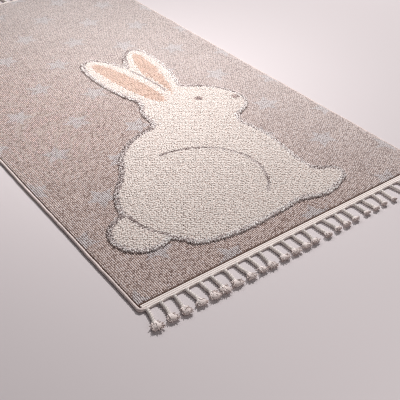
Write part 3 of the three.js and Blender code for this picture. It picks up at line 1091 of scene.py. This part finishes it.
LOCK = ((0.0, 0.0, 0.08), (0.35, 0.03, 0.12), (0.75, 0.12, 0.1), (1.0, 0.24, 0.03))
LOCK_SIDES = 4
CORE_PROFILE = ((0, 0.3), (0.12, 0.48), (0.34, 0.74), (0.6, 1.0), (0.82, 1.02), (0.95, 0.72), (1, 0.3))
CORE = tuple((up, 0, radius) for up, radius in CORE_PROFILE)
CORE_SIDES = 10
LOCKS_OF_TASSEL = 76
LOCK_HEIGHT, LOCK_LIFT = 4.9 * MM, 4.2 * MM
LONGEST_LOCK = 12 * MM
LOCK_SIZE = 9 * MM
CORE_HEIGHT, CORE_THICKNESS = 5.2 * MM, 4.4 * MM
CORD_HEIGHT = 4.6 * MM
TAPE_FOOT = 0.8 * MM
TAPE_STEP = 1.7 * MM
ROOT_WIDTH = 5.2 * MM
PRESSED_FROM = 1.6 * MM
FRINGE_KINDS = ("tape_", "cords_", "brushed_cores_", "brushed_ends_")
Tassel = namedtuple("Tassel", "across lean wide long")


def tassel_row(sizes):
    """For each tassel: where it hangs, how far its cord leans, and how wide and long it is brushed."""
    row = []
    for i in range(sizes.tassels):
        across = 2 * TASSELS_HALF * (i / (sizes.tassels - 1) - 0.5) + 1.8 * MM * math.sin(3.1 * i + 3.1)
        lean = 3 * MM * math.sin(1.7 * i + 1.7) - 12 * MM * math.exp(-1.5 * i)
        wide = 1.02 + 0.17 * math.cos(0.115 * i) + 0.12 * math.sin(5.3 * i)
        long = 0.69 + 0.31 * math.cos(0.14 * i) + 0.05 * math.sin(3.7 * i)
        row.append(Tassel(across, lean, wide, long))
    return row


def tape_piece(name, end, sizes, material):
    """The woven tape: three flat ribs along it, drawn out where each tassel is looped in."""
    start = RUG_LOW.y - PIECE_GAP
    low = TAPE_FOOT
    share = np.linspace(0, 1, 22)
    rib = np.abs(np.sin(share * TAPE_RIBS * math.pi)) ** 0.7
    roots = np.array([tassel.across for tassel in tassel_row(sizes)])
    count = round(2 * TAPE_HALF / TAPE_STEP)
    rings = []
    for number in range(count + 1):
        x = -TAPE_HALF + 2 * TAPE_HALF * number / count
        root = np.exp(-(((x - roots) / ROOT_WIDTH) ** 2)).sum()
        uneven = 0.25 * MM * math.sin(x * 60) + 0.2 * MM * math.sin(x * 171)
        top = sizes.tape_height - 0.8 * MM + 0.8 * MM * rib
        top = top - 0.9 * MM * (np.abs(share - 0.5) * 2) ** 8 + 2.6 * MM * root * share**5
        reach = sizes.tape_width + uneven + (3.6 * root - 0.8) * MM
        y = start - share * np.where(share > 0.7, reach, sizes.tape_width)
        upper = np.stack([np.full_like(y, x), y, top], -1)
        under_y = [y[-1], y[-1] + 1.0 * MM, y[0] - 1.0 * MM, y[0]]
        under_z = [low + 0.8 * MM, low, low, low + 0.8 * MM]
        rings.append(np.concatenate([upper, np.stack([np.full(4, x), under_y, under_z], -1)]))
    points, faces = loft(rings)
    return outward(mesh_object(name, points * (end, end, 1), faces, [material]))


def cord_path(tassel, sizes):
    """The line of one cord from inside the tape to inside its brushed end."""
    start = RUG_LOW.y - PIECE_GAP - sizes.tape_width
    share = np.linspace(-0.05, 1.05, 22)
    bend = tassel.lean * np.clip(share, 0, 1) ** 2
    x = tassel.across + bend + 0.8 * MM * np.sin(share * 4 + tassel.across * 90)
    y = start - share * sizes.cord_length
    z = CORD_HEIGHT - 0.3 * MM * np.sin(np.clip(share, 0, 1) * math.pi)
    return np.stack([x, y, z], -1)


def cord_tree():
    """Lays two plies of yarn side by side along each line and twists them round each other."""
    inputs = {
        "Ply radius": "Float", "Apart": "Float", "Turns": "Float", "Steps": "Int", "Sides": "Int",
        "Material": "Material",
    }
    tree, given = open_tree("twist cords", inputs)
    line = tree.add("GeometryNodeResampleCurve", None, {"Curve": given, "Count": given.output("Steps")})
    twice = tree.add("GeometryNodeDuplicateElements", {"domain": "SPLINE"}, {"Geometry": line, "Amount": 2})
    which = twice.output("Duplicate Index")
    share = tree.add("GeometryNodeSplineParameter", out="Factor")
    angle = (share * given.output("Turns") + which * 0.5) * (2 * math.pi)
    flare = 1 + tree.step(share, 0.16, 0.02) * 0.75 + tree.step(share, 0.9, 1.0) * 0.5
    apart = given.output("Apart")
    offset = tree.combine(X=angle.math("COSINE") * apart * flare, Z=angle.math("SINE") * apart)
    moved = tree.add("GeometryNodeSetPosition", None, {"Geometry": twice, "Offset": offset})
    inputs = {"Resolution": given.output("Sides"), "Radius": given.output("Ply radius")}
    ring = tree.add("GeometryNodeCurvePrimitiveCircle", None, inputs)
    inputs = {"Curve": moved, "Profile Curve": ring, "Fill Caps": True}
    tube = tree.add("GeometryNodeCurveToMesh", None, inputs)
    return close_tree(tree, tube, given)


def cords_piece(name, end, sizes, material):
    """All cords of an end, from one curve object that holds their lines."""
    curve = bpy.data.curves.new(name, "CURVE")
    curve.dimensions = "3D"
    for tassel in tassel_row(sizes):
        path = cord_path(tassel, sizes) * (end, end, 1)
        spline = curve.splines.new("POLY")
        spline.points.add(len(path) - 1)
        spline.points.foreach_set("co", np.c_[path, np.ones(len(path))].ravel())
    values = {
        "Ply radius": sizes.ply_radius, "Apart": sizes.ply_radius * 1.05, "Turns": sizes.cord_turns,
        "Steps": 34, "Sides": 8, "Material": material,
    }
    return grown(linked(bpy.data.objects.new(name, curve)), cord_tree(), values)


def brush_tree():
    """Sets a shape on every point along its aim, sized by the point, rolled at random or not at all."""
    inputs = {"Shape": "Object", "Roll": "Float", "Seed": "Int", "Material": "Material"}
    tree, given = open_tree("brush yarn", inputs)
    aim, size = tree.named("aim", "FLOAT_VECTOR"), tree.named("size", "FLOAT_VECTOR")
    roll = given.output("Roll")
    rolled = tree.combine(Z=tree.random(-roll, roll, given.output("Seed")))
    aimed = tree.add("FunctionNodeAlignEulerToVector", {"axis": "Z"}, {"Rotation": rolled, "Vector": aim})
    return close_on_points(tree, given, aimed, size)


def brushed_cores(sizes, colours):
    """The matted middle of each brushed end: roots, aims, sizes and shades."""
    rows = []
    shade = 0.85 * np.array(colours.brushed) + 0.15 * np.array(colours.brushed_taupe_and_painted_shade)
    for tassel in tassel_row(sizes):
        tip = cord_path(tassel, sizes)[-3]
        aim = (tassel.lean / sizes.cord_length, -1, 0)
        reach = (0.4 * sizes.puff_width * tassel.wide, CORE_THICKNESS, 0.86 * sizes.puff_length * tassel.long)
        rows.append(((tip[0], tip[1], CORE_HEIGHT), aim, reach, shade))
    return rows


def brushed_locks(sizes, colours, seed):
    """The locks of all brushed ends: roots, aims, sizes and shades."""
    draw = np.random.default_rng(seed)
    dark, pale = np.array(colours.brushed_taupe_and_painted_shade), np.array(colours.brushed)
    rows = []
    for tassel in tassel_row(sizes):
        tip = cord_path(tassel, sizes)[-2]
        length_here = sizes.puff_length * tassel.long * draw.uniform(0.92, 1.06)
        for _ in range(LOCKS_OF_TASSEL):
            depth = draw.uniform(0.0, 0.72) ** 1.1
            sideways = draw.uniform(-1, 1)
            over = draw.uniform(0, 1)
            half_wide = 0.5 * sizes.puff_width * tassel.wide * (0.16 + 1.0 * depth - 0.25 * depth**3)
            lift = LOCK_LIFT * math.sqrt(max(0.0, 1 - sideways**2)) * (0.6 + 0.9 * depth - 0.8 * depth**2)
            x = tip[0] + sideways * half_wide * 0.9
            y = tip[1] - depth * length_here * 0.86
            z = LOCK_HEIGHT + lift * (1.4 * over - 0.5)
            fan = sideways * (0.85 - 0.2 * depth) * tassel.wide + draw.normal(0, 0.22)
            tilt = draw.normal(0.0, 0.14) + 0.28 * over * (1 - 1.8 * depth)
            aim = (math.sin(fan) + tassel.lean / sizes.cord_length, -math.cos(fan), tilt)
            long = min(length_here * max(0.33, 1.02 - depth), LONGEST_LOCK) * draw.uniform(0.65, 1.0)
            thick = draw.uniform(0.8, 1.2) * LOCK_SIZE
            # Painted shade and light: a lock is paler the higher it sits and darker the further out it lies,
            # with a little random tone.
            tone_and_painted_light = min(1.0, max(0.0, (z - 2.0 * MM) / (4.6 * MM)))
            tone_and_painted_light *= draw.uniform(0.9, 1.04) * (1 - 0.28 * depth)
            rows.append(((x, y, z), aim, (thick, thick, long), dark + (pale - dark) * tone_and_painted_light))
    return rows


def brushed_piece(name, end, rows, stations, sides, roll, material):
    """Shapes of yarn on their roots, pressed flat where they would sink into the floor."""
    roots, aims, reach, shades = (np.array(part) for part in zip(*rows))
    turned = (end, end, 1)
    made = points_object(name, roots * turned, np.clip(shades, 0, 1), np.ones(len(roots)))
    store(made, "aim", "FLOAT_VECTOR", aims * turned)
    store(made, "size", "FLOAT_VECTOR", reach)
    shape = ring_shape(name + "_shape", stations, sides, 0.1)
    flat = ring_map(sides, len(stations))[1:-1]
    piece = planted(made, brush_tree(), shape, flat, {"Roll": roll, "Seed": 3, "Material": material})
    points = np.zeros(len(piece.data.vertices) * 3, np.float32)
    piece.data.vertices.foreach_get("co", points)
    points = points.reshape(-1, 3)
    low = PRESSED_FROM
    sunk = points[:, 2] < low
    points[sunk, 2] = low - 1.2 * MM * (1 - np.exp((points[sunk, 2] - low) / (4 * MM)))
    piece.data.vertices.foreach_set("co", points.ravel())
    piece.data.update()
    return piece


class RUG_OT_fringe(bpy.types.Operator):
    """Makes both fringes: the woven tapes, the twisted cords and their brushed ends."""

    bl_idname = "rug.fringe"
    bl_label = "Tassel Fringe"

    def execute(self, context):
        sizes, colours = context.scene.rug_sizes, context.scene.rug_colours
        tape_yarn = tape_finish(sizes, colours)
        cord_yarn = yarn_finish("cord_yarn", colours.fringe, 0.36, 1300.0, 0.6 * MM)
        # Painted shade at the tips of the brushed ends.
        brushed = pile_finish("brushed_yarn", colours.brushed_taupe_and_painted_shade, 0.4)
        seeds = {"near": 31, "far": 37}
        for label, end in ENDS.items():
            tape, cords, cores, locks = (kind + label for kind in FRINGE_KINDS)
            finished(tape_piece(tape, end, sizes, tape_yarn), "fringe_yarn", "fringe_" + label)
            finished(cords_piece(cords, end, sizes, cord_yarn), "fringe_yarn")
            rows = brushed_cores(sizes, colours)
            finished(brushed_piece(cores, end, rows, CORE, CORE_SIDES, 0.0, brushed), "fringe_yarn")
            rows = brushed_locks(sizes, colours, seeds[label])
            finished(brushed_piece(locks, end, rows, LOCK, LOCK_SIDES, math.pi, brushed), "fringe_yarn")
        return {"FINISHED"}


class RUG_OT_stage(bpy.types.Operator):
    """Sets up the floor, the soft lights and the camera."""

    bl_idname = "rug.stage"
    bl_label = "Stage"

    def lay_floor(self, stage):
        half = stage.floor_size / 2
        corners = [(-half, -half, 0), (half, -half, 0), (half, half, 0), (-half, half, 0)]
        finish = Finish("pale_floor")
        shade = finish.tint(opaque(scaled(stage.floor, 0.96)), stage.floor, finish.noise(1.2))
        floor = mesh_object("floor", corners, [(0, 1, 2, 3)], [finish.close(shade, 0.7, sheen=0.0)], False)

    def hang(self, name, spot, size, watts, back):
        """A round soft light that shines away from `back`."""
        light = bpy.data.lights.new(name, "AREA")
        light.shape = "DISK"
        light.size = size
        light.energy = watts
        lamp = linked(bpy.data.objects.new(name, light))
        lamp.location = spot
        lamp.rotation_euler = back.to_track_quat("Z", "Y").to_euler()
        lamp.visible_camera = False

    def fill_round(self, scene, stage):
        world = bpy.data.worlds.new("even_light")
        world.use_nodes = True
        background = world.node_tree.nodes["Background"]
        background.inputs["Color"].default_value = opaque(stage.fill)
        background.inputs["Strength"].default_value = stage.fill_strength
        scene.world = world

    def stand_camera(self, scene, stage):
        camera = bpy.data.cameras.new("camera")
        camera.lens = stage.lens
        camera.clip_start = 0.05
        camera.clip_end = 50
        view = linked(bpy.data.objects.new("camera", camera))
        view.location = stage.camera_place
        view.rotation_euler = stage.camera_turn
        scene.camera = view

    def execute(self, context):
        scene, stage = context.scene, context.scene.rug_stage
        self.lay_floor(stage)
        self.hang("key", stage.key_place, stage.key_size, stage.key_power, Vector(stage.key_place))
        self.hang("front", stage.front_place, stage.front_size, stage.front_power, Vector(stage.front_place))
        self.hang("glow", stage.glow_place, stage.glow_size, stage.glow_power, Vector((0, 0, 1)))
        self.fill_round(scene, stage)
        scene.view_settings.view_transform = "Standard"
        scene.cycles.filter_width = 1.0
        scene.cycles.denoising_prefilter = "NONE"
        self.stand_camera(scene, stage)
        return {"FINISHED"}


class RUG_PT_panel(bpy.types.Panel):
    """Lists the steps that build the rug."""

    bl_idname = "RUG_PT_panel"
    bl_label = "Tasselled Kids Rug"
    bl_space_type = "VIEW_3D"
    bl_region_type = "UI"
    bl_category = "Rug"

    def draw(self, context):
        for operator in OPERATORS:
            self.layout.operator(operator.bl_idname)
        for group in (context.scene.rug_sizes, context.scene.rug_colours, context.scene.rug_stage):
            box = self.layout.box()
            for name in group.__annotations__:
                box.prop(group, name)


OPERATORS = (RUG_OT_stage, RUG_OT_ground, RUG_OT_rabbit, RUG_OT_contour, RUG_OT_edges, RUG_OT_fringe)
CLASSES = (RugSizes, RugColours, StageSettings, *OPERATORS, RUG_PT_panel)


def register():
    for item in CLASSES:
        bpy.utils.register_class(item)
    bpy.types.Scene.rug_sizes = PointerProperty(type=RugSizes)
    bpy.types.Scene.rug_colours = PointerProperty(type=RugColours)
    bpy.types.Scene.rug_stage = PointerProperty(type=StageSettings)


def unregister():
    del bpy.types.Scene.rug_stage
    del bpy.types.Scene.rug_colours
    del bpy.types.Scene.rug_sizes
    for item in reversed(CLASSES):
        bpy.utils.unregister_class(item)


def declare_cloth():
    """Lists the pieces that go with the rug; the list is not used."""
    others = ["rabbit_base", *PILE_PARTS, "contour_tufts", "edge_left", "edge_right"]
    others += [kind + label for kind in FRINGE_KINDS for label in ENDS]


def main():
    register()
    bpy.ops.rug.stage()
    bpy.ops.rug.ground()
    bpy.ops.rug.rabbit()
    bpy.ops.rug.contour()
    bpy.ops.rug.edges()
    bpy.ops.rug.fringe()
    declare_cloth()


if __name__ == "__main__":
    main()
